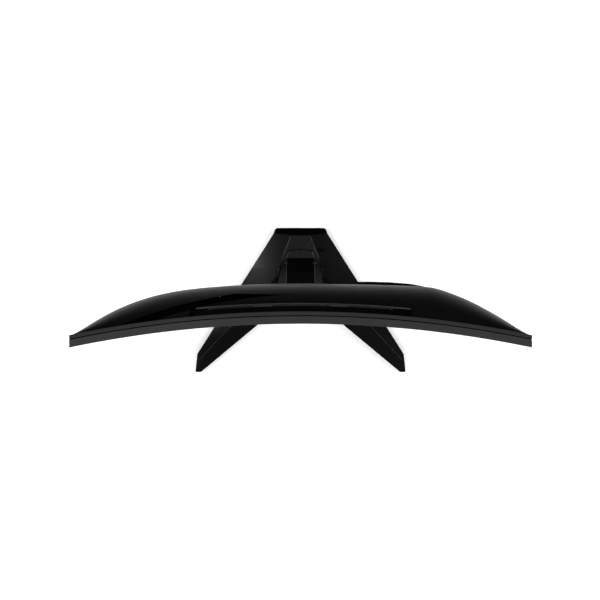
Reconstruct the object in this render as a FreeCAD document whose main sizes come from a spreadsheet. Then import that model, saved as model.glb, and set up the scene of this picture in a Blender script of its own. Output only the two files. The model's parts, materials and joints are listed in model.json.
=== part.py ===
import FreeCAD, Part
import Sketcher
import math
import os
import re

# A curved 27-inch desk monitor on a V-shaped stand.
# Frame: +Z up, the screen faces -Y, the origin is on the table under the middle of the stand.
# "Behind" means farther from the centre of the screen's curve, measured from the bezel's front face.

SIZES = {
    # head, outside
    "head_width": 611.5,
    "head_bottom": 94.0,
    "head_tall": 363.9,
    "curve_radius": 1500.0,
    "face_y": -31.4,
    "bezel_deep": 10.0,
    "bezel_lip": 2.2,
    "seam_wide": 1.3,
    "seam_deep": 2.7,
    "rim_wall": 1.8,
    "strip_end": 16.2,
    "cover_wall": 2.3,
    # swollen rear cover
    "swell_deep": 38.0,
    "swell_side": 180.0,
    "swell_top": 95.0,
    "swell_low": 110.0,
    "side_power": 2.5,
    "top_power": 2.2,
    "low_power": 2.0,
    # panel stack
    "stack_gap": 0.3,
    "chin_tall": 17.0,
    "glass_front": 0.8,
    "glass_thick": 1.6,
    "diffuser_thick": 1.2,
    "guide_thick": 2.6,
    "reflector_thick": 0.4,
    "tray_wall": 1.2,
    # top vent and the two rear panels
    "vent_half": 149.0,
    "vent_deep": 9.3,
    "vent_floor": 9.0,
    "comb_half": 122.0,
    "comb_deep": 2.4,
    "comb_tall": 6.5,
    "rib_pitch": 2.8,
    "rib_slot": 1.3,
    "panel_fit": 0.3,
    "wedge_sink": 0.9,
    "wedge_thick": 1.2,
    "step_left": 82.0,
    "step_right": 196.0,
    "step_low": 124.0,
    "step_high": 244.0,
    "step_deep": 26.4,
    "step_end": 12.5,
    "step_proud": 9.0,
    # hinge
    "axis_y": 5.0,
    "axis_z": 222.0,
    "shaft_radius": 4.0,
    "running_fit": 0.05,
    "barrel_radius": 8.0,
    "barrel_half": 18.0,
    "ear_inner": 24.0,
    "ear_thick": 2.5,
    "pocket_half": 39.0,
    "pocket_low": 118.0,
    "pocket_high": 242.0,
    "liner_floor": -9.0,
    "liner_wall": 1.6,
    "bracket_thick": 2.5,
    # neck, along its own lean
    "neck_lean": 12.3,
    "neck_length": 215.0,
    "neck_rear": 15.0,
    "neck_front": 7.0,
    "neck_face_half": 21.0,
    "neck_top_half": 36.0,
    "neck_foot_half": 30.0,
    "neck_wall": 2.2,
    "neck_seam_at": 104.0,
    "seam_gap": 0.3,
    "core_thick": 3.0,
    "core_half": 18.0,
    "foot_front": 47.5,
    "foot_rear": 59.0,
    "foot_half": 20.0,
    # base
    "base_rear": 112.7,
    "base_front": 112.7,
    "rear_half": 39.0,
    "waist_half": 42.2,
    "waist_y": 103.9,
    "elbow_half": 161.5,
    "elbow_y": -84.5,
    "tip_half": 164.3,
    "tip_inner": 155.7,
    "notch_half": 12.0,
    "notch_y": 6.8,
    "rear_round": 5.0,
    "notch_round": 12.0,
    "groove_wide": 1.7,
    "groove_deep": 1.3,
    "collar_proud": 1.2,
    "shell_low": 1.2,
    "edge_z": 7.0,
    "facet_slope": 0.3,
    "bevel_slope": 0.6,
    "plateau_z": 14.0,
    "plateau_slope": 0.072,
    "shell_wall": 2.6,
    "foot_pad": 2.0,
    "plate_thick": 2.5,
    "clamp_thick": 4.0,
    "screw_radius": 3.0,
    "thumb_radius": 11.0,
    # sockets and controls
    "bay_left": -152.0,
    "bay_right": -56.0,
    "bay_top": 160.0,
    "bay_low": 112.0,
    "bay_back": "=swell_deep - 42",
    "bay_wall": 1.6,
    "stick_x": "=head_width / 2 - 60.75",
    "stick_z": 150.0,
    "stick_y": -25.0,
    "stick_cap": 6.0,
    "well_radius": 12.0,
    "button_x": "=head_width / 2 - 43.75",
    "button_y": -49.6,
    "button_wide": 9.0,
    "button_deep": 3.4,
    "button_fit": 0.2,
    "button_travel": 0.8,
    "vesa_pitch": 100.0,
    "insert_radius": 3.6,
    "insert_bore": 1.65,
    "insert_end": "=swell_deep - 20.4",
}

# The right half of the back is fuller: how far along it, and how much deeper it is there.
SHOULDER = [(55, 0.0), (78, 0.8), (100, 1.5), (124, 2.9), (141, 3.6), (157, 4.9), (180, 8.0), (196, 5.4),
            (213, 4.1), (230, 2.9), (246, 1.2), (263, 0.5), (285, 0.0)]

doc = FreeCAD.newDocument("monitor")
sheet = doc.addObject("Spreadsheet::Sheet", "Sizes")
for row, (alias, value) in enumerate(SIZES.items(), start=1):
    sheet.set("A%d" % row, alias)
    sheet.set("B%d" % row, str(value))
    sheet.setAlias("B%d" % row, alias)
doc.recompute()

NODES = []


def size(text):
    """The value of an expression written with the sheet's names."""
    values = {alias: float(getattr(sheet, alias)) for alias in SIZES}
    words = re.findall(r"[a-z_]+|[0-9.]+|[-+*/()]", text)
    return Sum(words, values).total()


class Sum:
    """A small reader for plus, minus, times, over and brackets, so each size is written once."""

    def __init__(self, words, values):
        self.words = list(words)
        self.values = values

    def total(self):
        result = self.product()
        while self.words and self.words[0] in "+-":
            sign = self.words.pop(0)
            step = self.product()
            result = result + step if sign == "+" else result - step
        return result

    def product(self):
        result = self.single()
        while self.words and self.words[0] in "*/":
            sign = self.words.pop(0)
            step = self.single()
            result = result * step if sign == "*" else result / step
        return result

    def single(self):
        word = self.words.pop(0)
        if word == "-":
            return -self.single()
        if word == "(":
            result = self.total()
            self.words.pop(0)
            return result
        return self.values[word] if word in self.values else float(word)


def cells(text):
    """The same expression with each name turned into a reference to the sheet."""
    return re.sub(r"[a-z_]+", lambda word: "Sizes." + word.group(), str(text))


def bind(thing, **sizes):
    for path, text in sizes.items():
        thing.setExpression(path, cells(text))
    return thing


def at(thing, x="0", y="0", z="0", turn=None):
    """Place a solid at bound coordinates, turned by a rotation first."""
    if turn is not None:
        thing.Placement = FreeCAD.Placement(FreeCAD.Vector(), turn)
    for axis, text in (("x", x), ("y", y), ("z", z)):
        thing.setExpression("Placement.Base." + axis, cells(text))
    return thing


def node(label, thing):
    """Name a finished sub-part; its label is its file's name."""
    thing.Label = label
    NODES.append(thing)
    return thing


def box(wide, deep, tall, x, y, z, turn=None):
    thing = bind(doc.addObject("Part::Box", "block"), Length=wide, Width=deep, Height=tall)
    return at(thing, x, y, z, turn)


ALONG_X = FreeCAD.Rotation(FreeCAD.Vector(0, 1, 0), 90)
ALONG_Y = FreeCAD.Rotation(FreeCAD.Vector(1, 0, 0), -90)


def rod(radius, tall, x, y, z, turn=None):
    thing = bind(doc.addObject("Part::Cylinder", "rod"), Radius=radius, Height=tall)
    return at(thing, x, y, z, turn)


def cut(base, *tools):
    for tool in tools:
        step = doc.addObject("Part::Cut", "cut")
        step.Base = base
        step.Tool = tool
        base = step
    return base


def fuse(*things):
    step = doc.addObject("Part::MultiFuse", "joined")
    step.Shapes = list(things)
    return step


def common(*things):
    step = doc.addObject("Part::MultiCommon", "shared")
    step.Shapes = list(things)
    return step


def group(*things):
    """Separate solids that share one node."""
    step = doc.addObject("Part::Compound", "group")
    step.Links = list(things)
    return step


def shape(solid):
    thing = doc.addObject("Part::Feature", "shape")
    thing.Shape = solid
    return thing


def origin_plane(body, role):
    return [plane for plane in body.Origin.OriginFeatures if plane.Role == role][0]


def outline(sketch, points):
    """Straight lines round the given points, each point bound to the sheet."""
    vectors = [FreeCAD.Vector(size(across), size(along), 0) for across, along in points]
    for index, start in enumerate(vectors):
        end = vectors[(index + 1) % len(vectors)]
        sketch.addGeometry(Part.LineSegment(start, end))
    for index, (across, along) in enumerate(points):
        following = (index + 1) % len(points)
        sketch.addConstraint(Sketcher.Constraint("Coincident", index, 2, following, 1))
        for kind, text in (("DistanceX", across), ("DistanceY", along)):
            value = size(text)
            number = sketch.addConstraint(Sketcher.Constraint(kind, -1, 1, index, 1, value))
            sketch.setExpression("Constraints[%d]" % number, cells(text))
    return sketch


def pad(plane, points, tall, midplane=False):
    """A PartDesign body: an outline on an origin plane, padded."""
    body = doc.addObject("PartDesign::Body", "body")
    sketch = body.newObject("Sketcher::SketchObject", "sketch")
    sketch.AttachmentSupport = (origin_plane(body, plane), [""])
    sketch.MapMode = "FlatFace"
    outline(sketch, points)
    doc.recompute()
    solid = body.newObject("PartDesign::Pad", "pad")
    solid.Profile = sketch
    bind(solid, Length=tall)
    solid.Midplane = midplane
    body.Tip = solid
    return body


def curved(near, far, low, high, half):
    """A slab that follows the screen's curve, between two depths, two heights and two sides."""
    centre = "face_y - curve_radius"
    outer = rod("curve_radius + " + far, "%s - (%s)" % (high, low), "0", centre, low)
    inner = rod("curve_radius + " + near, "%s - (%s) + 2" % (high, low), "0", centre, low + " - 1")
    window = box("2 * (%s)" % half, "120", "%s - (%s) + 2" % (high, low), "-(%s)" % half,
                 "face_y - 60", low + " - 1")
    return common(cut(outer, inner), window)


TOP = "head_bottom + head_tall"
HALF = "head_width / 2"
INNER = "head_width / 2 - bezel_lip - stack_gap"


def rounded(steps, power):
    """Fall and rise along a quarter of a superellipse, both from 0 to 1."""
    turns = [math.pi / 2 * step / steps for step in range(steps + 1)]
    return [(1 - math.cos(turn) ** (2 / power), math.sin(turn) ** (2 / power)) for turn in turns]


def fuller(x):
    """How much deeper the right half of the back is at a place across."""
    for (near, low), (far, high) in zip(SHOULDER, SHOULDER[1:]):
        if near <= x <= far:
            return low + (high - low) * (x - near) / (far - near)
    return 0.0


def swelling(shrink):
    """The rear cover's swollen back as a solid, shrunk inwards by a wall."""
    half = size(HALF) - 0.9 - shrink
    top = size(TOP) - 0.9 - shrink
    low = size("head_bottom") - 1.2 + shrink
    deep = size("swell_deep") - shrink
    side, crown, skirt = size("swell_side"), size("swell_top"), size("swell_low")
    side_power = size("side_power")
    beyond = -0.35
    heights = [(low - 0.4, beyond)]
    heights += [(low + skirt * fall, rise) for fall, rise in rounded(9, size("low_power"))]
    flat = top - crown - low - skirt
    heights += [(low + skirt + flat * part, 1.0) for part in (0.3, 0.7)]
    heights += [(top - crown * fall, rise) for fall, rise in reversed(rounded(9, size("top_power")))]
    heights.append((top + 0.4, beyond))
    columns = 36
    reach = size("curve_radius + strip_end")
    centre = size("face_y - curve_radius")
    poles = []
    for z, rise in heights:
        row = []
        for column in range(columns + 1):
            x = (half + 4) * math.sin(math.pi / 2 * (2 * column / columns - 1))
            near = min((half - abs(x)) / side, 1.0)
            depth = deep * (1 - (1 - near) ** side_power) + fuller(x)
            depth = depth * rise if rise > 0 and depth > 0 else min(depth, deep * rise)
            angle = x / reach
            radius = reach + depth
            row.append(FreeCAD.Vector(radius * math.sin(angle), centre + radius * math.cos(angle), z))
        poles.append(row)
    skin = Part.BSplineSurface()
    knots = [list(range(count - 2)) for count in (len(poles), columns + 1)]
    repeats = [[4] + [1] * (len(row) - 2) + [4] for row in knots]
    skin.buildFromPolesMultsKnots(poles, repeats[0], repeats[1], knots[0], knots[1], False, False, 3, 3)
    return shape(skin.toShape().extrude(FreeCAD.Vector(0, -90, 0)))


def rear_shell():
    """The rear cover, its vent grille, the wedge and the raised panel on its back."""
    swell_out = swelling(0.0)
    swell_in = swelling(size("cover_wall"))
    beyond = curved("strip_end - 0.2", "90", "head_bottom - 4", TOP + " + 4", HALF + " + 6")
    beyond_in = curved("strip_end - 0.4", "90", "head_bottom - 4", TOP + " + 4", HALF + " + 6")
    strip = curved("bezel_deep + seam_wide", "strip_end", "head_bottom", TOP, HALF)
    rim = curved("bezel_deep + 0.2", "strip_end", "head_bottom + seam_deep", TOP + " - seam_deep",
                 HALF + " - 0.1")
    inner = "seam_deep + rim_wall"
    room = curved("bezel_deep", "strip_end", "head_bottom + " + inner, TOP + " - (%s)" % inner,
                  HALF + " - (%s)" % inner)
    outside = fuse(strip, rim, common(swell_out, beyond))
    shell = cut(outside, fuse(room, common(swell_in, beyond_in)))

    window = box("2 * pocket_half", "80", "pocket_high - pocket_low", "-pocket_half", "-16", "pocket_low")
    bay = box("bay_right - bay_left + 2 * panel_fit", "80", "bay_top - bay_low", "bay_left - panel_fit",
              "bay_back", "bay_low")
    well = rod("well_radius + panel_fit", "40", "stick_x", "stick_y - 2", "stick_z", ALONG_Y)
    vent = vent_prism(0.0, 12.0)
    wedge = wedge_prism(0.0)
    lock = box("7.4", "20", "3.4", "-183.7", "-6", "150")
    vesa = [rod("insert_radius + 0.4", "20", x, "insert_end - 9.6", z, ALONG_Y) for x, z in vesa_places()]
    node("rear_cover", cut(shell, window, bay, well, vent, wedge, lock, *vesa))

    sunk_out = swelling(size("wedge_sink"))
    sunk_in = swelling(size("wedge_sink + wedge_thick"))
    inlay = common(cut(sunk_out, sunk_in), wedge_prism(size("panel_fit")), beyond)
    node("upper_wedge_panel", inlay)
    raised_panel()
    vent_grille()


def vesa_places():
    middle = "head_bottom + head_tall / 2 - 54"
    places = []
    for side in ("-vesa_pitch / 2", "vesa_pitch / 2"):
        for rise in (" - vesa_pitch / 2", " + vesa_pitch / 2"):
            places.append((side, middle + rise))
    return places


def vent_prism(shrink, tall):
    """The top vent in plan: a band behind the strip that follows the screen's curve."""
    edge = size("curve_radius + strip_end") + 0.6 + shrink
    centre = size("face_y - curve_radius")
    crest = edge + size("vent_deep") - 2 * shrink
    half = size("vent_half") - shrink

    def arc(radius, reach):
        side = centre + math.sqrt(radius * radius - reach * reach)
        ends = [FreeCAD.Vector(-reach, side, 0), FreeCAD.Vector(reach, side, 0)]
        return Part.Arc(ends[0], FreeCAD.Vector(0, centre + radius, 0), ends[1]).toShape(), ends

    near, front = arc(edge, half)
    far, back = arc(crest, half - 4)
    sides = [Part.makeLine(front[0], back[0]), Part.makeLine(front[1], back[1])]
    outline_wire = Part.Wire(Part.__sortEdges__([near, sides[0], far, sides[1]]))
    solid = Part.Face(outline_wire).extrude(FreeCAD.Vector(0, 0, tall))
    solid.translate(FreeCAD.Vector(0, 0, size(TOP) - size("vent_floor")))
    return shape(solid)


def wedge_prism(shrink):
    """The dark wedge in plan: broad at the left end, closing to a tip near the middle."""
    edge = size("curve_radius + strip_end") + 1.0
    centre = size("face_y - curve_radius")

    def rim(x):
        return FreeCAD.Vector(x, centre + math.sqrt(edge * edge - x * x), 0)

    tip, bend = FreeCAD.Vector(-11.4, 7.3, 0), FreeCAD.Vector(-86.9, 8.6, 0)
    start, close = rim(-240.0), rim(-190.0)
    edges = [
        Part.Arc(start, FreeCAD.Vector(-153.2, -5.0, 0), bend).toShape(),
        Part.makeLine(bend, tip),
        Part.Arc(tip, FreeCAD.Vector(-90.0, -0.6, 0), close).toShape(),
        Part.makeLine(close, start),
    ]
    face = Part.Face(Part.Wire(edges))
    if shrink > 0:
        face = face.makeOffset2D(-shrink)
    solid = face.extrude(FreeCAD.Vector(0, 0, 90))
    solid.translate(FreeCAD.Vector(0, 0, size(TOP) - 86))
    return shape(solid)


def raised_panel():
    """A raised five-sided panel low on the right of the back, with a ledge facing up."""
    face = pad("XZ_Plane", [("step_left", "step_low"), ("step_right - 20", "step_low"),
                            ("step_right", "step_low + 46"), ("step_right - 14", "step_high - 18"),
                            ("step_right - 40", "step_high"), ("step_left", "step_high")], "60")
    plan = pad("XY_Plane", [("step_left", "2"), ("step_left", "step_deep - 0.3"),
                            ("step_left + 16", "step_deep"), ("step_right - 68", "step_deep - 0.8"),
                            ("step_right - 39", "step_deep - 3.1"), ("step_right - 24", "step_deep - 5.5"),
                            ("step_right - 10", "step_end + 5.1"), ("step_right", "step_end"),
                            ("step_right", "2")], "step_high + 40")
    turned = at(face, "0", "60", "0")
    body = common(turned, plan)
    node("raised_rear_panel", cut(common(body, swelling(-size("step_proud"))), swelling(-0.1)))


def vent_grille():
    """A grille sunk in the top of the cover, with a comb of ribs in three groups at its rear."""
    floor = TOP + " - vent_floor"
    back = "strip_end + 0.6 + vent_deep - panel_fit"
    plate = vent_prism(size("panel_fit"), 2.0)
    comb = curved(back + " - comb_deep", back, floor, floor + " + comb_tall", "comb_half")
    slots = []
    for centre, wide in ((-91.0, 56.0), (0.0, 78.0), (91.0, 56.0)):
        count = int(wide / size("rib_pitch"))
        for index in range(count):
            place = centre + (index - (count - 1) / 2) * size("rib_pitch")
            sag = place * place / 2 / size("curve_radius + strip_end")
            slots.append(box("rib_slot", "comb_deep + 1.2", "comb_tall + 4", "%.3f - rib_slot / 2" % place,
                             "face_y + %s - comb_deep - 0.6 - %.3f" % (back, sag), floor + " - 1"))
    node("top_vent_grille", cut(fuse(plate, comb), group(*slots)))


def front_frame():
    """The bezel frame and what shows in its window."""
    body = curved("0", "bezel_deep", "head_bottom", TOP, HALF)
    room = curved("-2", "bezel_deep + 2", "head_bottom + bezel_lip", TOP + " - bezel_lip",
                  HALF + " - bezel_lip")
    button = box("button_wide + 2 * button_fit", "button_deep + 2 * button_fit", "8",
                 "button_x - button_wide / 2 - button_fit", "button_y - button_fit", "head_bottom - 3")
    node("front_bezel", cut(body, room, button))
    chin = curved("0.2", "3", "head_bottom + bezel_lip + stack_gap", "head_bottom + chin_tall", INNER)
    lamp = box("5.4", "20", "1.6", "281.3", "face_y - 45", "head_bottom + 7")
    node("chin_strip", cut(chin, lamp))
    lens = common(curved("0.3", "3", "head_bottom + 4", "head_bottom + 12", INNER),
                  box("5", "20", "1.2", "281.5", "face_y - 45", "head_bottom + 7.2"))
    node("power_light_lens", lens)


def display_stack():
    """LCD glass, light layers and the steel tray behind them, each a curved sheet."""
    low = "head_bottom + chin_tall + stack_gap"
    high = TOP + " - bezel_lip - stack_gap"
    back = "glass_front + glass_thick"
    node("lcd_glass", curved("glass_front", back, low, high, INNER))
    depth = back + " + stack_gap"
    node("diffuser_sheets", curved(depth, depth + " + diffuser_thick", low + " + 2", high + " - 2",
                                   INNER + " - 2"))
    depth = depth + " + diffuser_thick + stack_gap"
    node("light_guide", curved(depth, depth + " + guide_thick", low + " + 6", high + " - 2",
                               INNER + " - 2"))
    node("led_bar", curved(depth, depth + " + guide_thick", low + " + 2", low + " + 5.7", INNER + " - 2"))
    depth = depth + " + guide_thick + stack_gap"
    node("reflector_sheet", curved(depth, depth + " + reflector_thick", low + " + 2", high + " - 2",
                                   INNER + " - 2"))
    depth = depth + " + reflector_thick + stack_gap"
    tray = curved(back + " + stack_gap", depth + " + tray_wall", low, high, INNER)
    hollow = curved("0", depth, low + " + tray_wall", high + " - tray_wall", INNER + " - tray_wall")
    node("panel_chassis", cut(tray, hollow))
    node("panel_driver_board", curved("4.2", "5.4", "head_bottom + 4.2", "head_bottom + 16.6", "236"))


TRAY_BACK = "glass_front + glass_thick + 4 * stack_gap + diffuser_thick + guide_thick + reflector_thick + tray_wall"


def electronics():
    """Boards behind the tray, the port bay and its sockets."""
    tray_y = "face_y + " + TRAY_BACK
    node("main_board", box("112", "1.6", "92", "-166", "bay_back - 1.8", "bay_top + 1"))
    posts = []
    for x in (-162.0, -58.0):
        for z in (166.0, 248.0):
            drop = x * x / 2 / size("curve_radius")
            start = tray_y + " - %.3f + 0.4" % drop
            posts.append(rod("3", "bay_back - 1.8 - (%s)" % start, "%.3f" % x, start, "%.3f" % z, ALONG_Y))
    node("board_standoffs", group(*posts))
    node("board_shield", cut(box("60", "6", "44", "-150", "bay_back - 0.2", "192"),
                             box("58", "5.2", "42", "-149", "bay_back - 0.2", "193")))
    node("led_driver_board", box("70", "1.6", "60", "80", "bay_back - 1.8", "270"))
    drivers = []
    for x in (84.0, 146.0):
        start = tray_y + " - %.3f + 0.4" % (x * x / 2 / size("curve_radius"))
        drivers.append(rod("3", "bay_back - 1.8 - (%s)" % start, "%.3f" % x, start, "300", ALONG_Y))
    node("driver_standoffs", group(*drivers))
    parts = []
    for x, tall in ((96.0, 12.0), (112.0, 9.0), (128.0, 12.0)):
        parts.append(rod("4.5", "%.1f" % tall, "%.1f" % x, "bay_back - 0.2", "284", ALONG_Y))
    node("driver_capacitors", group(*parts))
    flex = box("24", "0.6", "150", "-100", "bay_back - 2.6", "112")
    node("panel_flex_cable", common(flex, box("24", "4", "64", "-100", "bay_back - 4", "168")))

    outer = box("bay_right - bay_left", "60", "bay_top - bay_low", "bay_left", "bay_back + 0.2", "bay_low")
    inner = box("bay_right - bay_left - 2 * bay_wall", "70", "bay_top - bay_low",
                "bay_left + bay_wall", "bay_back + 0.2 + bay_wall", "bay_low - bay_wall")
    skin = swelling(0.3)
    sockets = [
        ("dc_inlet", "bay_left + 9", 9.0, 9.0),
        ("displayport_socket", "bay_left + 25", 18.0, 6.6),
        ("hdmi_socket_left", "bay_left + 48", 16.0, 6.0),
        ("hdmi_socket_right", "bay_left + 68", 16.0, 6.0),
        ("audio_jack", "bay_left + 88", 7.0, 7.0),
    ]
    holes = []
    for label, x, wide, deep in sockets:
        holes.append(box("%.2f + 0.4" % wide, "%.2f + 0.4" % deep, "6", x + " - %.2f - 0.2" % (wide / 2),
                         "bay_back + 2.6", "bay_top - 4"))
        socket(label, x, wide, deep)
    node("port_bay", cut(common(outer, skin), inner, *holes))


def socket(label, x, wide, deep):
    """One socket, its mouth down: a shell and the contact tongue or pin inside it."""
    low = "bay_top - 2"
    body = box("%.2f" % wide, "%.2f" % deep, "13", x + " - %.2f" % (wide / 2), "bay_back + 2.8", low)
    middle = "bay_back + 2.8 + %.2f" % (deep / 2)
    if label in ("dc_inlet", "audio_jack"):
        bore = "2.75" if label == "dc_inlet" else "1.8"
        hole = rod(bore, "10", x, middle, low + " - 0.1")
        pin = rod("0.95", "10.5", x, middle, low + " + 0.4")
        node(label, fuse(cut(body, hole), pin) if label == "dc_inlet" else cut(body, hole))
        return
    mouth = box("%.2f - 1" % wide, "%.2f - 1" % deep, "10", x + " - %.2f + 0.5" % (wide / 2),
                "bay_back + 3.3", low + " - 0.1")
    tongue = box("%.2f - 4" % wide, "1.2", "10", x + " - %.2f + 2" % (wide / 2), middle + " - 0.6",
                 low + " + 0.5")
    node(label, fuse(cut(body, mouth), tongue))


def hinge():
    """The tilt hinge: the bracket and shaft turn with the head, the barrel is the neck's."""
    liner = box("2 * pocket_half - 0.8", "60", "pocket_high - pocket_low - 0.8", "0.4 - pocket_half",
                "liner_floor", "pocket_low + 0.4")
    room = box("2 * (pocket_half - 0.4 - liner_wall)", "70", "pocket_high - pocket_low - 0.8 - 2 * liner_wall",
               "0.4 + liner_wall - pocket_half", "liner_floor + liner_wall", "pocket_low + 0.4 + liner_wall")
    node("pocket_liner", common(cut(liner, room), swelling(0.4)))

    plate_y = "liner_floor + liner_wall + 0.2"
    plate = box("74", "bracket_thick", "37", "-37", plate_y, "axis_z - 23")
    ears = []
    for start in ("ear_inner", "-ear_inner - ear_thick"):
        ears.append(box("ear_thick", "axis_y - (%s) - 0.5" % plate_y, "16", start, plate_y + " + 0.5",
                        "axis_z - 8"))
        ears.append(rod("barrel_radius", "ear_thick", start, "axis_y", "axis_z", ALONG_X))
    bore = rod("shaft_radius + running_fit", "80", "-40", "axis_y", "axis_z", ALONG_X)
    places = [(x, z) for x in ("-32.5", "32.5") for z in ("axis_z - 18", "axis_z + 9")]
    holes = [rod("2.1", "8", x, plate_y + " - 2", z, ALONG_Y) for x, z in places]
    node("hinge_bracket", cut(fuse(plate, *ears), bore, *holes))

    top = plate_y + " + bracket_thick"
    screws = []
    for x, z in places:
        screws.append(fuse(rod("3.2", "1.8", x, top, z, ALONG_Y),
                           rod("1.9", "bracket_thick + 0.1", x, plate_y + " - 0.1", z, ALONG_Y)))
    node("bracket_screws", group(*screws))
    start = "face_y + %s + 0.4" % TRAY_BACK
    posts = [rod("4.5", "liner_floor - 0.1 - (%s)" % start, x, start, z, ALONG_Y) for x, z in places]
    node("bracket_posts", group(*posts))

    shaft = rod("shaft_radius", "ear_inner + ear_thick + ear_inner + ear_thick + 4", "-ear_inner - ear_thick - 4",
                "axis_y", "axis_z", ALONG_X)
    head = rod("6", "2", "ear_inner + ear_thick", "axis_y", "axis_z", ALONG_X)
    node("hinge_shaft", fuse(shaft, head))
    nut = rod("6.5", "3", "-ear_inner - ear_thick - 3.1", "axis_y", "axis_z", ALONG_X)
    node("hinge_nut", cut(nut, rod("shaft_radius + running_fit", "6", "-ear_inner - ear_thick - 5", "axis_y",
                                   "axis_z", ALONG_X)))
    washers = []
    for side in (1, -1):
        for index in range(4):
            start = 18.15 + index * 1.42 if side > 0 else -18.15 - index * 1.42 - 1.3
            ring = rod("7.4", "1.3", "%.2f" % start, "axis_y", "axis_z", ALONG_X)
            washers.append(cut(ring, rod("shaft_radius + running_fit", "3", "%.2f" % (start - 1), "axis_y",
                                         "axis_z", ALONG_X)))
    node("friction_washers", group(*washers))

    inserts = []
    plugs = []
    for x, z in vesa_places():
        drop = size(x) ** 2 / 2 / size("curve_radius")
        start = "face_y + %s - %.3f + 0.3" % (TRAY_BACK, drop)
        inserts.append(cut(rod("insert_radius", "insert_end - (%s)" % start, x, start, z, ALONG_Y),
                           rod("insert_bore", "12", x, "insert_end - 11.6", z, ALONG_Y)))
        plugs.append(rod("insert_radius + 0.1", "1.6", x, "insert_end + 0.3", z, ALONG_Y))
    node("vesa_inserts", group(*inserts))
    node("vesa_plugs", group(*plugs))


def lean(thing):
    """Stand a piece drawn along the neck's own line at the hinge axis, leaning forward."""
    turn = FreeCAD.Rotation(FreeCAD.Vector(1, 0, 0), size("neck_lean"))
    return at(thing, "0", "axis_y", "axis_z", turn)


def neck_section(body, height, half, grow):
    sketch = body.newObject("Sketcher::SketchObject", "section")
    sketch.AttachmentSupport = (origin_plane(body, "XY_Plane"), [""])
    sketch.MapMode = "FlatFace"
    sketch.setExpression("AttachmentOffset.Base.z", cells(height))
    rear = "neck_rear + (%s)" % grow
    front = "-neck_front - (%s)" % grow
    wide = "%s + (%s)" % (half, grow)
    face = "neck_face_half + (%s) * 0.4" % grow
    right = [(face, rear), (wide, "6.5"), (wide, "-4"), (wide + " - 3", front)]
    left = [("-(%s)" % across, along) for across, along in reversed(right)]
    outline(sketch, right + left)
    return sketch


def neck_hull(grow):
    """The neck's tapering outside, grown or shrunk by a wall."""
    body = doc.addObject("PartDesign::Body", "hull")
    reach = 1 if grow.startswith("-") else 0
    foot = neck_section(body, "-neck_length - %d" % reach, "neck_foot_half", grow)
    crown = neck_section(body, "%d" % reach, "neck_top_half", grow)
    doc.recompute()
    loft = body.newObject("PartDesign::AdditiveLoft", "loft")
    loft.Profile = foot
    loft.Sections = [(crown, [""])]
    loft.Ruled = True
    body.Tip = loft
    return body


def neck():
    """Steel core, and the covers that close round it."""
    shell = cut(neck_hull("0"), neck_hull("-neck_wall"))
    face = "neck_face_half - seam_gap / 2"
    rear_slab = ("2 * (%s)" % face, "8", "neck_rear - neck_wall - 0.6")
    upper = box(rear_slab[0], rear_slab[1], "neck_seam_at - seam_gap / 2", "-(%s)" % face, rear_slab[2],
                "-neck_seam_at + seam_gap / 2")
    lower = box(rear_slab[0], rear_slab[1], "neck_length - neck_seam_at", "-(%s)" % face, rear_slab[2],
                "-neck_length")
    trimmed = box("100", "40", "neck_length - neck_seam_at - seam_gap / 2", "-50", "-20", "-neck_length")
    node("neck_rear_upper", lean(common(shell, upper)))
    node("neck_rear_lower", lean(common(shell, lower, trimmed)))
    front = box("100", "8", "neck_length - 14", "-50", "-neck_front - 2", "-neck_length")
    node("neck_front_cover", lean(common(shell, cut(front, box("200", "8", "400", "-100", "-3.4", "-300")))))
    for label, start in (("neck_side_left", "-90 - neck_face_half"), ("neck_side_right", "neck_face_half")):
        side = box("90", "30", "neck_length", start, "-3.1", "-neck_length")
        gap = box("2 * neck_face_half + seam_gap", "60", "500", "-neck_face_half - seam_gap / 2", "-30", "-400")
        node(label, lean(cut(common(shell, side), gap)))

    round_out = rod("neck_rear", "2 * neck_top_half - 0.4", "0.2 - neck_top_half", "0", "0", ALONG_X)
    round_in = rod("neck_rear - neck_wall", "2 * neck_top_half - 0.4 - 2 * neck_wall",
                   "0.2 + neck_wall - neck_top_half", "0", "0", ALONG_X)
    quarter = box("100", "20", "20", "-50", "2.6", "0.2")
    node("hinge_cap", lean(common(cut(round_out, round_in), quarter)))

    barrel = rod("barrel_radius", "2 * barrel_half", "-barrel_half", "0", "0", ALONG_X)
    strap = box("2 * core_half", "core_thick", "neck_length - 15", "-core_half", "-core_thick / 2", "10 - neck_length")
    leaning = lean(fuse(barrel, strap))
    block = box("2 * foot_half", "foot_rear - foot_front", "20", "-foot_half", "foot_front",
                "foot_pad + plate_thick + clamp_thick")
    bore = rod("shaft_radius + running_fit", "80", "-40", "axis_y", "axis_z", ALONG_X)
    thread = rod("screw_radius + running_fit", "30", "0", "(foot_front + foot_rear) / 2", "0")
    node("neck_core", cut(fuse(leaning, block), bore, thread))


def upright_at(edge, corner):
    """Whether an edge stands upright over a corner of the plan, on either side."""
    ends = [edge.Vertexes[0].Point, edge.Vertexes[-1].Point]
    near = all(abs(abs(end.x) - corner.x) < 0.01 and abs(end.y - corner.y) < 0.01 for end in ends)
    return near and abs(ends[0].z - ends[1].z) > 1


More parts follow.
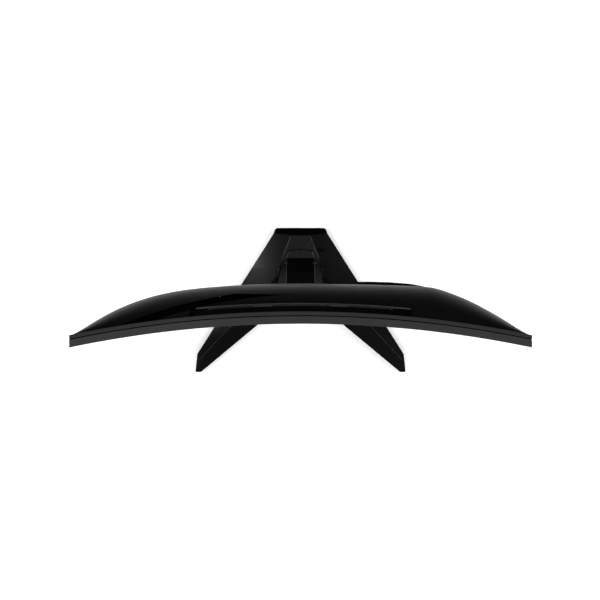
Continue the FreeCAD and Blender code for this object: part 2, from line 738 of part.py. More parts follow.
def base_outline(inset):
    """The V in plan with its corners rounded, inset by a wall."""
    points = [("0", "base_rear"), ("rear_half", "base_rear"), ("waist_half", "waist_y"),
              ("elbow_half", "elbow_y"), ("tip_half", "-base_front"), ("tip_inner", "-base_front"),
              ("notch_half", "notch_y"), ("0", "notch_y")]
    flat = [FreeCAD.Vector(size(x), size(y), 0) for x, y in points]
    mirrored = [FreeCAD.Vector(-point.x, point.y, 0) for point in reversed(flat[1:-1])]
    loop = flat[:-1] + mirrored
    block = Part.Face(Part.makePolygon(loop + [loop[0]])).extrude(FreeCAD.Vector(0, 0, 10))
    rounds = [(flat[1], size("rear_round")), (flat[2], 8.0), (flat[3], 8.0), (flat[4], 2.0), (flat[5], 2.0),
              (flat[6], size("notch_round"))]
    for corner, radius in rounds:
        edges = [edge for edge in block.Edges if upright_at(edge, corner)]
        block = block.makeFillet(radius, edges)
    face = [side for side in block.Faces if side.BoundBox.ZMax < 0.001][0]
    face = Part.Face(face.OuterWire)
    if inset > 0:
        face = face.makeOffset2D(-inset, 2)
    return face


def slope_tool(start, end, height, slope):
    """A block above a plane that rises at a slope from the line between two points of the plan."""
    along = (end - start).normalize()
    inward = FreeCAD.Vector(-along.y, along.x, 0)
    rise = (inward + FreeCAD.Vector(0, 0, slope)).normalize()
    normal = along.cross(rise)
    tool = Part.makeBox(900, 700, 300)
    tool.translate(FreeCAD.Vector(-300, -100, 0))
    turn = FreeCAD.Rotation(along, rise, normal, "ZXY")
    tool.Placement = FreeCAD.Placement(FreeCAD.Vector(start.x, start.y, height), turn).multiply(tool.Placement)
    return tool


def base_body(inset, drop, low):
    """The faceted V: its plan, cut by sloping planes along each edge and over the plateau."""
    tall = 60.0
    plan = base_outline(inset).extrude(FreeCAD.Vector(0, 0, tall))
    corners = {key: FreeCAD.Vector(size(x), size(y), 0) for key, x, y in (
        ("rear", "rear_half", "base_rear"), ("waist", "waist_half", "waist_y"),
        ("elbow", "elbow_half", "elbow_y"), ("inner", "tip_inner", "-base_front"),
        ("notch", "notch_half", "notch_y"))}
    edge = size("edge_z") - drop
    half = plan.common(Part.makeBox(400, 400, 200, FreeCAD.Vector(0, -200, 0)))
    tools = [
        slope_tool(corners["elbow"], corners["waist"], edge, size("facet_slope")),
        slope_tool(corners["notch"], corners["inner"], edge, size("facet_slope")),
        slope_tool(corners["rear"], FreeCAD.Vector(-corners["rear"].x, corners["rear"].y, 0), edge,
                   size("bevel_slope")),
        slope_tool(FreeCAD.Vector(40, size("waist_y"), 0), FreeCAD.Vector(-40, size("waist_y"), 0),
                   size("plateau_z") - drop, size("plateau_slope")),
    ]
    for tool in tools:
        half = half.cut(tool)
    whole = half.fuse(half.mirror(FreeCAD.Vector(), FreeCAD.Vector(1, 0, 0))).removeSplitter()
    below = Part.makeBox(500, 400, low, FreeCAD.Vector(-250, -200, 0))
    return whole.cut(below)


def base():
    """The V-shaped base: a faceted cover over a steel plate on rubber feet, and the thumbscrew."""
    low = size("shell_low")
    hollow = size("shell_wall")
    outside = base_body(0.0, 0.0, low)
    inside = shape(base_body(hollow, hollow * 0.9, 0.4))
    passage = lean(neck_hull("0.4"))
    channel = collar_outline(size("groove_wide")).extrude(FreeCAD.Vector(0, 0, 30))
    bed = base_body(0.0, size("groove_deep"), low)
    node("base_cover", cut(shape(outside), inside, passage, shape(channel.cut(bed))))

    floor = size("foot_pad")
    steel = base_outline(hollow + 0.3).extrude(FreeCAD.Vector(0, 0, size("plate_thick")))
    steel.translate(FreeCAD.Vector(0, 0, floor))
    steel = steel.common(base_body(hollow + 0.3, hollow * 0.9 + 0.3, 0.4))
    middle = "(foot_front + foot_rear) / 2"
    well = rod("thumb_radius + 1.5", "12", "0", middle, "0")
    screws = [("0", "98"), ("-26", "98"), ("26", "98"), ("-118", "-50"), ("118", "-50")]
    holes = [rod("1.7", "12", x, y, "0") for x, y in screws]
    node("base_steel_plate", cut(shape(steel), well, *holes))
    heads = []
    for x, y in screws:
        heads.append(fuse(rod("3", "1.2", x, y, "foot_pad - 1.2"), rod("1.6", "plate_thick", x, y, "foot_pad")))
    node("base_plate_screws", group(*heads))
    pads = [("0", "106"), ("-34", "88"), ("34", "88"), ("-60", "10"), ("60", "10"), ("-148", "-94"), ("148", "-94")]
    node("rubber_feet", group(*[rod("6.5" if x != "0" else "3", "foot_pad", x, y, "0") for x, y in pads]))
    clamp = box("60", "26", "clamp_thick", "-30", "41", "foot_pad + plate_thick")
    node("base_clamp_plate", cut(clamp, rod("screw_radius + 0.3", "20", "0", middle, "0")))
    head = rod("thumb_radius", "3.1", "0", middle, "1.1")
    shank = rod("screw_radius", "18", "0", middle, "2")
    slot = box("16", "1.6", "1.2", "-8", middle + " - 0.8", "0.6")
    node("base_thumbscrew", cut(fuse(head, shank), slot))

    pad_solid = collar_outline(0.0).extrude(FreeCAD.Vector(0, 0, 30))
    pad_solid = pad_solid.common(base_body(0.0, -size("collar_proud"), low)).cut(bed)
    node("neck_collar", cut(shape(pad_solid), lean(neck_hull("0.35"))))


def collar_wire(right, crest, height):
    """A closed outline from its right half, closed at the rear by an arc through the crest."""
    points = [FreeCAD.Vector(x, y, height) for x, y in right]
    points += [FreeCAD.Vector(-x, y, height) for x, y in reversed(right)]
    edges = [Part.makeLine(start, end) for start, end in zip(points, points[1:])]
    arc = Part.Arc(points[-1], FreeCAD.Vector(0, crest, height), points[0]).toShape()
    return Part.Wire(edges + [arc])


def collar_outline(grow):
    """The collar's seat on the plateau."""
    right = [(18.5, 75.4), (25.4, 55.0), (35.5, 49.0), (35.5, 31.0)]
    face = Part.Face(collar_wire(right, 78.2, 8.0))
    return face.makeOffset2D(grow) if grow > 0 else face


def controls():
    """The five-way joystick on the back, and the power button under the right end."""
    floor = "stick_y + 4"
    cup = cut(rod("well_radius", "24", "stick_x", floor + " - 1.4", "stick_z", ALONG_Y),
              rod("well_radius - 1.4", "30", "stick_x", floor, "stick_z", ALONG_Y),
              rod("4.6", "6", "stick_x", floor + " - 3", "stick_z", ALONG_Y))
    node("joystick_well", common(cup, swelling(0.4)))
    block = box("12", "6", "12", "stick_x - 6", "stick_y - 4", "stick_z - 6")
    ball_room = at(bind(doc.addObject("Part::Sphere", "room"), Radius="2.9"), "stick_x", "stick_y", "stick_z")
    mouth = rod("3.6", "4", "stick_x", "stick_y + 0.9", "stick_z", ALONG_Y)
    node("joystick_housing", cut(block, ball_room, mouth))
    ball = at(bind(doc.addObject("Part::Sphere", "ball"), Radius="2.6"), "stick_x", "stick_y", "stick_z")
    node("joystick_ball", ball)
    node("joystick_stem", rod("1.5", "7", "stick_x", "stick_y + 2.9", "stick_z", ALONG_Y))
    cap = cut(rod("stick_cap", "5", "stick_x", "stick_y + 8", "stick_z", ALONG_Y),
              rod("1.6", "3.2", "stick_x", "stick_y + 7.9", "stick_z", ALONG_Y))
    node("joystick_cap", cap)
    node("joystick_board", box("30", "1.4", "26", "stick_x - 15", "stick_y - 5.4", "stick_z - 13"))
    posts = []
    for x in (size("stick_x") - 11, size("stick_x") + 11):
        start = "face_y + %s - %.3f + 0.5" % (TRAY_BACK, x * x / 2 / size("curve_radius"))
        posts.append(rod("2.5", "stick_y - 5.5 - (%s)" % start, "%.3f" % x, start, "stick_z", ALONG_Y))
    node("joystick_posts", group(*posts))

    wide = "button_wide"
    node("power_button", box(wide, "button_deep", "3.2", "button_x - button_wide / 2", "button_y",
                             "head_bottom - 0.6"))
    node("button_board", box("20", "button_deep", "1.2", "button_x - 10", "button_y",
                             "head_bottom + 2.6 + button_travel + 0.3"))
    slot = box("7", "20", "3", "-183.5", "-10", "150.2")
    block = box("13", "14", "9", "-186.5", "-3", "147.2")
    node("lock_slot_plate", cut(common(block, swelling(size("cover_wall") + 0.3)), slot))


front_frame()
display_stack()
rear_shell()
electronics()
hinge()
neck()
base()
controls()
doc.recompute()

failed = [thing.Name for thing in doc.Objects if {"Invalid", "Error"} & set(thing.State)]
bad = [thing.Label for thing in NODES if thing.Shape.isNull() or not thing.Shape.isValid()]
if failed or bad:
    raise RuntimeError("failed: %s, bad shapes: %s" % (failed, bad))

os.makedirs("parts", exist_ok=True)
for thing in NODES:
    thing.Shape.exportStep("parts/%s.step" % thing.Label)
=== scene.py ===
import json
import math

import bmesh
import bpy
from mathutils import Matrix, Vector
from mathutils.bvhtree import BVHTree


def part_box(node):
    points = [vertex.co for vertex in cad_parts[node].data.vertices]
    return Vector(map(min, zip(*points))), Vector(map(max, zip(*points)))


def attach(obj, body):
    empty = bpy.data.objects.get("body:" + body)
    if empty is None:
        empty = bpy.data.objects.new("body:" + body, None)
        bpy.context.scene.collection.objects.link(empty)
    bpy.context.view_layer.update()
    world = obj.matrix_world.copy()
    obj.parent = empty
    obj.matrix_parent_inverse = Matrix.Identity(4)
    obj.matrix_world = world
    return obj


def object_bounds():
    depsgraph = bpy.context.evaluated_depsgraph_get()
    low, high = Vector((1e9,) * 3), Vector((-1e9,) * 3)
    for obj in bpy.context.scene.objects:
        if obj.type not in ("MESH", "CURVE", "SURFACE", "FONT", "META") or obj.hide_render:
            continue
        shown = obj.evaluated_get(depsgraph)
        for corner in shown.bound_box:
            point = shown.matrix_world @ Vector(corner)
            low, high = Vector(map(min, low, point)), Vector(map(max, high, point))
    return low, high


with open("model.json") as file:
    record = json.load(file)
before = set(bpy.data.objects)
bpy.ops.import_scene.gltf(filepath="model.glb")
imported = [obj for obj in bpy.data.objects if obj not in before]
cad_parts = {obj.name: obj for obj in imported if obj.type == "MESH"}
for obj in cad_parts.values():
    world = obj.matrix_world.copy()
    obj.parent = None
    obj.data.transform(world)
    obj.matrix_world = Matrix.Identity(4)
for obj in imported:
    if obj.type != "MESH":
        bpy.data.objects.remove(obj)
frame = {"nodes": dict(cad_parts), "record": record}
cad_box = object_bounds()
NODES = frame["nodes"]

# The screen's curve in plan: the radius of its front face and where the middle of that face is. Then how
# far behind the face the painted seam shadow ends and the grey strip ends.
CURVE = 1.5
FACE_Y = -0.0314
SEAM_END = 0.0113
STRIP_END = 0.0162
HAIR = 0.0001      # how far a mask reaches past the edge it follows
RAY_START = 0.6    # a height above the whole monitor, from which rays are cast down

# Noises shared by the plastics, as scale, detail and roughness.
CLOUD = (9.0, 3.0)
PATCHES = (24.0, 5.0)
WAVES = (16.0, 1.0)
FINE = (2.0, 0.6)  # detail and roughness of the moulded grain, whose scale is set by each material
PLASTIC_IOR = 1.5


# Materials ---------------------------------------------------------------------------------------

class Nodes:
    """A material's node tree, with short calls for the nodes used here."""

    def __init__(self, name):
        self.material = bpy.data.materials.new(name)
        self.material.use_nodes = True
        self.tree = self.material.node_tree
        self.shader = self.tree.nodes["Principled BSDF"]
        self.coords = self.tree.nodes.new("ShaderNodeTexCoord").outputs["Object"]

    def add(self, kind, **values):
        made = self.tree.nodes.new(kind)
        for name, value in values.items():
            setattr(made, name, value)
        return made

    def link(self, start, end):
        self.tree.links.new(start, end)

    def noise(self, scale, detail=4.0, rough=0.55, stretch=None):
        made = self.add("ShaderNodeTexNoise")
        made.inputs["Scale"].default_value = scale
        made.inputs["Detail"].default_value = detail
        made.inputs["Roughness"].default_value = rough
        source = self.coords
        if stretch:
            mapping = self.add("ShaderNodeMapping")
            mapping.inputs["Scale"].default_value = stretch
            self.link(source, mapping.inputs["Vector"])
            source = mapping.outputs["Vector"]
        self.link(source, made.inputs["Vector"])
        return made.outputs["Fac"]

    def ramp(self, value, stops):
        made = self.add("ShaderNodeValToRGB")
        row = made.color_ramp.elements
        while len(row) < len(stops):
            row.new(0.5)
        for element, (place, colour) in zip(row, stops):
            element.position = place
            element.color = (*colour, 1.0)
        self.link(value, made.inputs["Fac"])
        return made.outputs["Color"]

    def spread(self, value, low, high):
        made = self.add("ShaderNodeMapRange")
        made.inputs["To Min"].default_value = low
        made.inputs["To Max"].default_value = high
        self.link(value, made.inputs["Value"])
        return made.outputs["Result"]

    def axes(self):
        """The X, Y and Z of the piece's own coordinates."""
        split = self.add("ShaderNodeSeparateXYZ")
        self.link(self.coords, split.inputs["Vector"])
        return split.outputs

    def greys(self, value, dark, light):
        return self.ramp(value, [(0.3, (dark,) * 3), (0.75, (light,) * 3)])

    def set(self, **values):
        for name, value in values.items():
            self.shader.inputs[name.replace("_", " ")].default_value = value

    def colour(self, output):
        self.link(output, self.shader.inputs["Base Color"])

    def rough(self, output):
        self.link(output, self.shader.inputs["Roughness"])

    def math(self, operation, *values):
        made = self.add("ShaderNodeMath", operation=operation)
        for socket, value in zip(made.inputs, values):
            if isinstance(value, (int, float)):
                socket.default_value = value
            else:
                self.link(value, socket)
        return made.outputs[0]

    def mix(self, part, low, high, kind="RGBA"):
        """The low input where part is 0 and the high one where it is 1. Each kind has its own sockets."""
        made = self.add("ShaderNodeMix", data_type=kind)
        first, second, out = {"RGBA": (6, 7, 2), "FLOAT": (2, 3, 0)}[kind]
        self.link(part, made.inputs[0])
        self.link(low, made.inputs[first])
        self.link(high, made.inputs[second])
        return made.outputs[out]

    def bump(self, *layers):
        """Layers of (height, distance in metres), chained."""
        normal = None
        for height, distance in layers:
            made = self.add("ShaderNodeBump")
            made.inputs["Distance"].default_value = distance
            made.inputs["Strength"].default_value = 1.0
            self.link(height, made.inputs["Height"])
            if normal:
                self.link(normal, made.inputs["Normal"])
            normal = made.outputs["Normal"]
        self.link(normal, self.shader.inputs["Normal"])


def plastic(name, dark, light, rough, grain, depth, level=0.5):
    """Moulded plastic: a cloudy colour, patchy gloss and a fine moulded grain."""
    made = Nodes(name)
    made.colour(made.greys(made.noise(*CLOUD), dark, light))
    made.rough(made.spread(made.noise(*PATCHES), *rough))
    made.bump((made.noise(grain, *FINE), depth), (made.noise(*WAVES), depth * 1.6))
    made.set(Specular_IOR_Level=level, IOR=PLASTIC_IOR)
    return made.material


def cover(name):
    """The rear cover: satin black, with a greyer moulded strip beside the bezel and a near-black band of
    painted shadow at the seam, both as deep as the curve itself runs."""
    made = Nodes(name)
    across, along, _ = made.axes()
    back = made.math("SUBTRACT", along, FACE_Y - CURVE)
    square = made.math("ADD", made.math("POWER", across, 2.0), made.math("POWER", back, 2.0))
    depth = made.math("SUBTRACT", made.math("SQRT", square), CURVE)
    strip = made.math("LESS_THAN", depth, STRIP_END + HAIR)
    # seam mask: where the cover is painted near black as the shadow in the gap to the bezel
    seam = made.math("LESS_THAN", depth, SEAM_END - HAIR)
    cloud = made.noise(*CLOUD)
    satin = made.greys(cloud, 0.0028, 0.004)
    grey = made.greys(cloud, 0.0235, 0.0285)
    # painted shadow colour for the seam gap
    shade = made.greys(cloud, 0.0002, 0.0004)
    made.colour(made.mix(seam, made.mix(strip, satin, grey), shade))
    patch = made.noise(*PATCHES)
    made.rough(made.mix(strip, made.spread(patch, 0.30, 0.38), made.spread(patch, 0.5, 0.6), "FLOAT"))
    made.bump((made.noise(2200.0, *FINE), 0.000008), (made.noise(*WAVES), 0.000012))
    made.set(Specular_IOR_Level=0.007, IOR=PLASTIC_IOR)
    return made.material


def grille(name):
    """The vent: a comb whose rib tops are grey, and below them a floor painted near black as shade in the
    deep vent.
    """
    rib_tall = 0.004
    made = Nodes(name)
    height = made.axes()["Z"]
    # rib tops keep the grey; everything lower gets the painted shade colour
    rib = made.math("GREATER_THAN", height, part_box("top_vent_grille")[1][2] - rib_tall)
    cloud = made.noise(40.0, 3.0)
    made.colour(made.mix(rib, made.greys(cloud, 0.0003, 0.0008), made.greys(cloud, 0.018, 0.024)))
    made.rough(made.spread(made.noise(60.0, 4.0), 0.5, 0.65))
    made.bump((made.noise(2600.0, *FINE), 0.00002))
    made.set(Specular_IOR_Level=0.04, IOR=PLASTIC_IOR)
    return made.material


def rear_edge(made, across, along):
    """A mask of the base's gloss black rear edge, whose front boundary bows forward in the middle."""
    deep, bow = 0.0118, 2.2
    sag = made.math("MULTIPLY", made.math("POWER", across, 2.0), bow)
    return made.math("GREATER_THAN", made.math("SUBTRACT", along, sag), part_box("base_cover")[1][1] - deep)


def collar_shadow(made, across, along, up):
    """A mask of what lies below the base's flat top in the groove behind the neck collar, where the base is
    painted black as the groove's shadow.
    """
    groove, ahead = 0.0019, 0.003
    slope, high_at, high = 0.072, 0.1039, 0.014
    below = 0.0004
    corner = Vector(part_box("neck_collar")[1])
    width = made.math("LESS_THAN", made.math("ABSOLUTE", across), corner.x + groove)
    length = made.math("MULTIPLY", made.math("GREATER_THAN", along, corner.y - ahead),
                       made.math("LESS_THAN", along, corner.y + groove))
    flat_top = made.math("MULTIPLY_ADD", along, -slope, high + high_at * slope - below)
    return made.math("MULTIPLY", made.math("MULTIPLY", width, length), made.math("LESS_THAN", up, flat_top))


def facet_crown(made, across, along):
    """A height that rounds the rear facets off towards their outer edges."""
    flat_half, full_at, drop = 0.03, 0.05, 0.9
    behind = made.math("MINIMUM", made.math("MAXIMUM", along, 0.0), full_at)
    share = made.math("MULTIPLY", behind, 1 / full_at)
    out = made.math("MAXIMUM", made.math("SUBTRACT", made.math("ABSOLUTE", across), flat_half), 0.0)
    return made.math("MULTIPLY", made.math("MULTIPLY", made.math("POWER", out, 2.0), share), -drop)


def base_cover(name):
    """The base: satin black facets, a gloss black rear edge, and painted shadow in the groove round the
    neck.
    """
    made = Nodes(name)
    across, along, up = made.axes()
    rear = rear_edge(made, across, along)
    # black: the gloss black rear edge together with the painted shadow in the collar groove
    black = made.math("MAXIMUM", rear, collar_shadow(made, across, along, up))
    cloud = made.noise(*CLOUD)
    made.colour(made.mix(black, made.greys(cloud, 0.0028, 0.0044), made.greys(cloud, 0.0002, 0.0004)))
    patch = made.noise(*PATCHES)
    made.rough(made.mix(rear, made.spread(patch, 0.18, 0.26), made.spread(patch, 0.08, 0.12), "FLOAT"))
    made.bump((made.noise(2600.0, *FINE), 0.00001), (made.noise(*WAVES), 0.000016),
              (facet_crown(made, across, along), 1.0))
    made.set(Specular_IOR_Level=0.2, IOR=PLASTIC_IOR)
    return made.material


def metal(name, colour, rough):
    """Brushed metal, with streaks that run across the piece."""
    made = Nodes(name)
    streak = made.noise(60.0, 3.0, 0.6, (1.0, 1.0, 30.0))
    low = tuple(part * 0.82 for part in colour)
    made.colour(made.ramp(streak, [(0.3, low), (0.7, colour)]))
    made.rough(made.spread(streak, rough - 0.07, rough + 0.09))
    made.bump((streak, 0.00002))
    made.set(Metallic=1.0)
    return made.material


def circuit(name):
    """Solder mask over a faint track pattern."""
    made = Nodes(name)
    tracks = made.add("ShaderNodeTexBrick")
    tracks.inputs["Scale"].default_value = 90.0
    tracks.inputs["Color1"].default_value = (0.012, 0.09, 0.035, 1)
    tracks.inputs["Color2"].default_value = (0.016, 0.11, 0.045, 1)
    tracks.inputs["Mortar"].default_value = (0.03, 0.17, 0.07, 1)
    made.link(made.coords, tracks.inputs["Vector"])
    made.colour(tracks.outputs["Color"])
    made.rough(made.spread(made.noise(300.0), 0.25, 0.45))
    made.bump((tracks.outputs["Fac"], 0.00003))
    return made.material


def screen_glass(name):
    """Coated glass, unlit: a near-black panel inside a slightly darker border."""
    side_border, end_border = 0.0062, 0.0050
    made = Nodes(name)
    low, high = (Vector(corner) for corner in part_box("lcd_glass"))
    middle, half = (low + high) / 2, (high - low) / 2
    across, _, up = made.axes()

    def inside(socket, centre, reach):
        away = made.math("ABSOLUTE", made.math("SUBTRACT", socket, centre))
        return made.math("LESS_THAN", away, reach)

    panel = made.math("MULTIPLY", inside(across, middle.x, half.x - side_border),
                      inside(up, middle.z, half.z - end_border))
    made.colour(made.ramp(panel, [(0.0, (0.0015, 0.0015, 0.0017)), (1.0, (0.006, 0.0062, 0.0075))]))
    made.rough(made.spread(made.noise(1800.0, 2.0), 0.24, 0.34))
    made.bump((made.noise(2600.0, 1.0), 0.000004))
    made.set(IOR=PLASTIC_IOR, Specular_IOR_Level=0.4)
    return made.material


# A plastic's values: its darkest and lightest shade, its range of roughness, the grain's scale and its
# depth in metres, and the specular level.
GLOSS = cover("gloss_cover")
# one black plastic in two copies for the neck's rear covers: the lower one painted darker as shade, the
# upper one lighter as painted light, both with no specular reflection
NECK_LOWER_SHADED = plastic("neck_lower_painted_shade", 0.0012, 0.002, (0.4, 0.5), 2200.0, 0.000006, level=0.0)
NECK_UPPER_LIT = plastic("neck_upper_painted_light", 0.0024, 0.0034, (0.4, 0.5), 2200.0, 0.000006, level=0.0)
# slightly lighter black for painted highlight lines on the neck side covers' inner rear edges
NECK_HIGHLIGHT = plastic("neck_painted_highlight", 0.005, 0.008, (0.4, 0.5), 2200.0, 0.00001, level=0.04)
# near-black cords laid as painted shadow in the seam, the collar groove and along the neck's shaded outer
# edges
SHADOW = plastic("painted_shadow_black", 0.0002, 0.0005, (0.8, 0.9), 2600.0, 0.00003, level=0.0)
MATTE = plastic("matte_cover", 0.003, 0.005, (0.42, 0.56), 2600.0, 0.00003, level=0.25)
# near black with no specular reflection, for the wedge panel and the pocket liner
NEAR_BLACK = plastic("near_black_cover", 0.0003, 0.0007, (0.6, 0.7), 2600.0, 0.00002, level=0.0)
RAISED = plastic("raised_cover", 0.0008, 0.0014, (0.45, 0.55), 2600.0, 0.00001, level=0.015)
BEZEL = plastic("bezel_plastic", 0.0225, 0.0275, (0.45, 0.55), 3200.0, 0.00002, level=0.25)
SATIN = plastic("neck_satin", 0.004, 0.006, (0.4, 0.5), 2200.0, 0.00001, level=0.002)
BASE = base_cover("base_plastic")
GRILLE = grille("vent_grille")
# lighter grey for painted highlight lines on the left ridge and the legs
EDGE_HIGHLIGHT = plastic("painted_highlight_line", 0.014, 0.02, (0.3, 0.4), 2200.0, 0.000008, level=0.5)
SHEETS = plastic("white_sheet", 0.62, 0.7, (0.4, 0.6), 900.0, 0.00002)
# matte grey of the vent lip, also used for painted highlight lines on the right ridge and the collar
LIP_AND_HIGHLIGHT = plastic("vent_lip", 0.02, 0.026, (0.35, 0.45), 2200.0, 0.000008, level=0.35)
RUBBER = plastic("rubber", 0.01, 0.018, (0.75, 0.9), 1600.0, 0.00008, level=0.2)
FLEX = plastic("flex_film", 0.12, 0.16, (0.3, 0.4), 800.0, 0.00001)
LENS = plastic("lens", 0.5, 0.6, (0.2, 0.3), 900.0, 0.00001)
GLASS = screen_glass("screen_glass")
BOARD = circuit("board")
STEEL = metal("zinc_steel", (0.5, 0.5, 0.51), 0.35)
BLACK_STEEL = plastic("powder_coat", 0.008, 0.014, (0.5, 0.65), 1500.0, 0.00005, level=0.4)
BRASS = metal("brass", (0.62, 0.45, 0.2), 0.3)
CAN = metal("can", (0.6, 0.6, 0.62), 0.28)
NICKEL = metal("nickel", (0.62, 0.6, 0.57), 0.24)

BY_SLOT = {
    "bezel_plastic": BEZEL, "gloss_cover": GLOSS, "matte_cover": MATTE, "neck_satin": SATIN,
    "base_plastic": BASE, "screen_glass": GLASS, "white_plastic": SHEETS, "board": BOARD, "steel": STEEL,
    "painted_steel": BLACK_STEEL, "brass": BRASS, "can": CAN, "flex": FLEX, "socket_metal": NICKEL,
    "rubber": RUBBER, "lens": LENS,
}
BY_NODE = {
    "upper_wedge_panel": NEAR_BLACK, "pocket_liner": NEAR_BLACK, "raised_rear_panel": RAISED,
    "top_vent_grille": GRILLE, "neck_rear_upper": NECK_UPPER_LIT, "neck_rear_lower": NECK_LOWER_SHADED,
}

for part in frame["record"]["subparts"]:
    piece = NODES[part["node"]]
    look = BY_NODE.get(part["node"], BY_SLOT[part["material_slot"]])
    for slot in piece.material_slots:
        slot.material = look


# Softened edges ----------------------------------------------------------------------------------

SOFT_EDGES = {
    "neck_side_left": 0.0006, "neck_side_right": 0.0006,
    "neck_rear_upper": 0.0004, "neck_rear_lower": 0.0004, "neck_front_cover": 0.0004, "neck_collar": 0.0005,
    "raised_rear_panel": 0.0008, "hinge_cap": 0.0004,
}
for name, width in SOFT_EDGES.items():
    soft = NODES[name].modifiers.new("soft_edges", "BEVEL")
    soft.width = width
    soft.segments = 2
    soft.limit_method = "ANGLE"
    soft.angle_limit = math.radians(24)
    soft.use_clamp_overlap = True


# The vent lip, and cords painted as highlight and shadow lines ----------------------------------

def skin(name):
    """A CAD node's faces, ready for rays."""
    data = NODES[name].data
    return BVHTree.FromPolygons([point.co for point in data.vertices],
                                [list(face.vertices) for face in data.polygons])


def dropped(tree, x, y):
    """Where a ray cast straight down at x, y first meets a skin."""
    return tree.ray_cast(Vector((x, y, RAY_START)), Vector((0, 0, -1)))[0]


def round_curve(name, radius, rings):
    data = bpy.data.curves.new(name, "CURVE")
    data.dimensions = "3D"
    data.bevel_depth = radius
    data.bevel_resolution = rings
    data.use_fill_caps = True
    return data


def curve_piece(data, look):
    data.materials.append(look)
    made = bpy.data.objects.new(data.name, data)
    bpy.context.scene.collection.objects.link(made)
    return made


def vent_lip():
    """The rounded lip along the rear edge of the top vent, which follows the cover's height."""
    radius, half_long, pieces = 0.0009, 0.1455, 40
    gap, vent_wide, set_back, overhang = 0.0006, 0.0093, 0.0007, 0.0004
    top_edge = 0.44    # a ray that lands lower than this has missed the cover's top edge
    reach = CURVE + STRIP_END + gap + vent_wide + set_back
    cover_skin = skin("rear_cover")
    spots = []
    for step in range(pieces + 1):
        angle = (2 * step / pieces - 1) * half_long / reach
        x, y = reach * math.sin(angle), FACE_Y - CURVE + reach * math.cos(angle)
        hit = dropped(cover_skin, x, y)
        if hit and hit.z > top_edge:
            spots.append((x, y - overhang, hit.z - HAIR))
    data = round_curve("vent_lip", radius, 4)
    data.resolution_u = 8
    line = data.splines.new("NURBS")
    line.points.add(len(spots) - 1)
    for point, spot in zip(line.points, spots):
        point.co = (*spot, 1.0)
    line.use_endpoint_u = True
    line.order_u = 4
    lip = curve_piece(data, LIP_AND_HIGHLIGHT)
    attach(lip, "head")


def creases(name, least, most, chosen):
    """A CAD node's chosen edges, whose faces turn by between two angles, chained into lines of points."""
    weld = 0.000002
    mesh = bmesh.new()
    mesh.from_mesh(NODES[name].data)
    bmesh.ops.remove_doubles(mesh, verts=mesh.verts, dist=weld)
    mesh.normal_update()
    edges = [edge for edge in mesh.edges if len(edge.link_faces) == 2
             and math.radians(least) < edge.calc_face_angle(0.0) < math.radians(most) and chosen(edge)]
    ends = {}
    for edge in edges:
        for vert in edge.verts:
            ends.setdefault(vert, []).append(edge)
    left = dict.fromkeys(edges)
    chains = []
    starts = [vert for vert in ends if len(ends[vert]) != 2] + list(ends)
    for start in starts:
        for edge in ends[start]:
            if edge not in left:
                continue
            chain, here = [start.co.copy()], start
            while edge is not None:
                del left[edge]
                here = edge.other_vert(here)
                chain.append(here.co.copy())
                onward = ends[here] if len(ends[here]) == 2 else ()
                edge = next((step for step in onward if step in left), None)
            chains.append(chain)
    mesh.free()
    return chains


def bead(name, chains, radius, look, body, sink=0.0):
    """A thin rounded cord along lines of points, sunk a little into what it runs on. Each one here is a
    painted highlight or painted shadow line.
    """
    data = round_curve(name, radius, 3)
    for chain in chains:
        line = data.splines.new("POLY")
        line.points.add(len(chain) - 1)
        for point, spot in zip(line.points, chain):
            point.co = (spot.x, spot.y, spot.z - sink, 1.0)
    made = curve_piece(data, look)
    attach(made, body)


def seam_shadow_cord():
    """A black cord in the seam between the bezel and the rear cover, right round the head: painted shadow
    for the seam gap.
    """
    radius, depth = 0.0007, 0.01065
    inset, top_inset = 0.0013, 0.0010
    half_wide, tall = 30, 20    # steps in half a long run, and in a side
    low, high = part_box("front_bezel")
    reach = CURVE + depth
    side, top, bottom = high[0] - inset, high[2] - top_inset, low[2] + inset
    drop = high[2] - low[2] - 2 * inset
    rows = [(side * (step / half_wide - 1), top) for step in range(2 * half_wide + 1)]
    rows += [(side, top - drop * step / tall) for step in range(1, tall)]
    rows += [(side * (1 - step / half_wide), bottom) for step in range(2 * half_wide + 1)]
    rows += [(-side, bottom + drop * step / tall) for step in range(1, tall + 1)]
    chain = [Vector((x, FACE_Y - CURVE + math.sqrt(reach * reach - x * x), z)) for x, z in rows]
    bead("seam_shadow_cord", [chain], radius, SHADOW, "head")


def is_long(edge):
    """Whether an edge of a neck cover runs up most of the neck."""
    return edge.calc_length() > 0.1


def laid(name, plan, radius, look):
    """A bead that follows plan points over the top of the stand."""
    steps, sunk_share = 12, 0.4
    spots = []
    for first, last in zip(plan, plan[1:]):
        for step in range(steps + 1):
            x, y = (start + (end - start) * step / steps for start, end in zip(first, last))
            heights = [hit.z for hit in (dropped(tree, x, y) for tree in STAND_SKINS) if hit]
            if heights:
                spots.append(Vector((x, y, max(heights))))
    bead(name, [spots], radius, look, "stand", radius * sunk_share)


# Painted highlight lines on the stand, as points in plan. X is from the middle and Y from the collar's rear
# edge, but a leg's X is inwards from the base's tip and its Y is the base's own.
ARC_HALF, ARC_SAG, ARC_STEPS = 0.0195, 0.0025, 8
RIDGE = ((0.0157, 0.0205), (0.029, -0.014))
LEG = ((0.0545, -0.0408), (0.0065, -0.0925))
COLLAR_SIDE = ((0.0186, -0.0035), (0.0248, -0.0218))
COLLAR_TICK = ((0.0248, -0.0218), (0.0185, -0.0215))
# The turn, in degrees, of the faces at a neck side cover's outer and inner rear edges, which get a painted
# shadow line and a painted highlight line.
OUTER_FOLD = (56, 59)
INNER_FOLD = (110, 130)
STAND_TOP = ("base_cover", "neck_collar", "neck_side_left", "neck_side_right", "neck_rear_lower")
STAND_SKINS = [skin(name) for name in STAND_TOP]


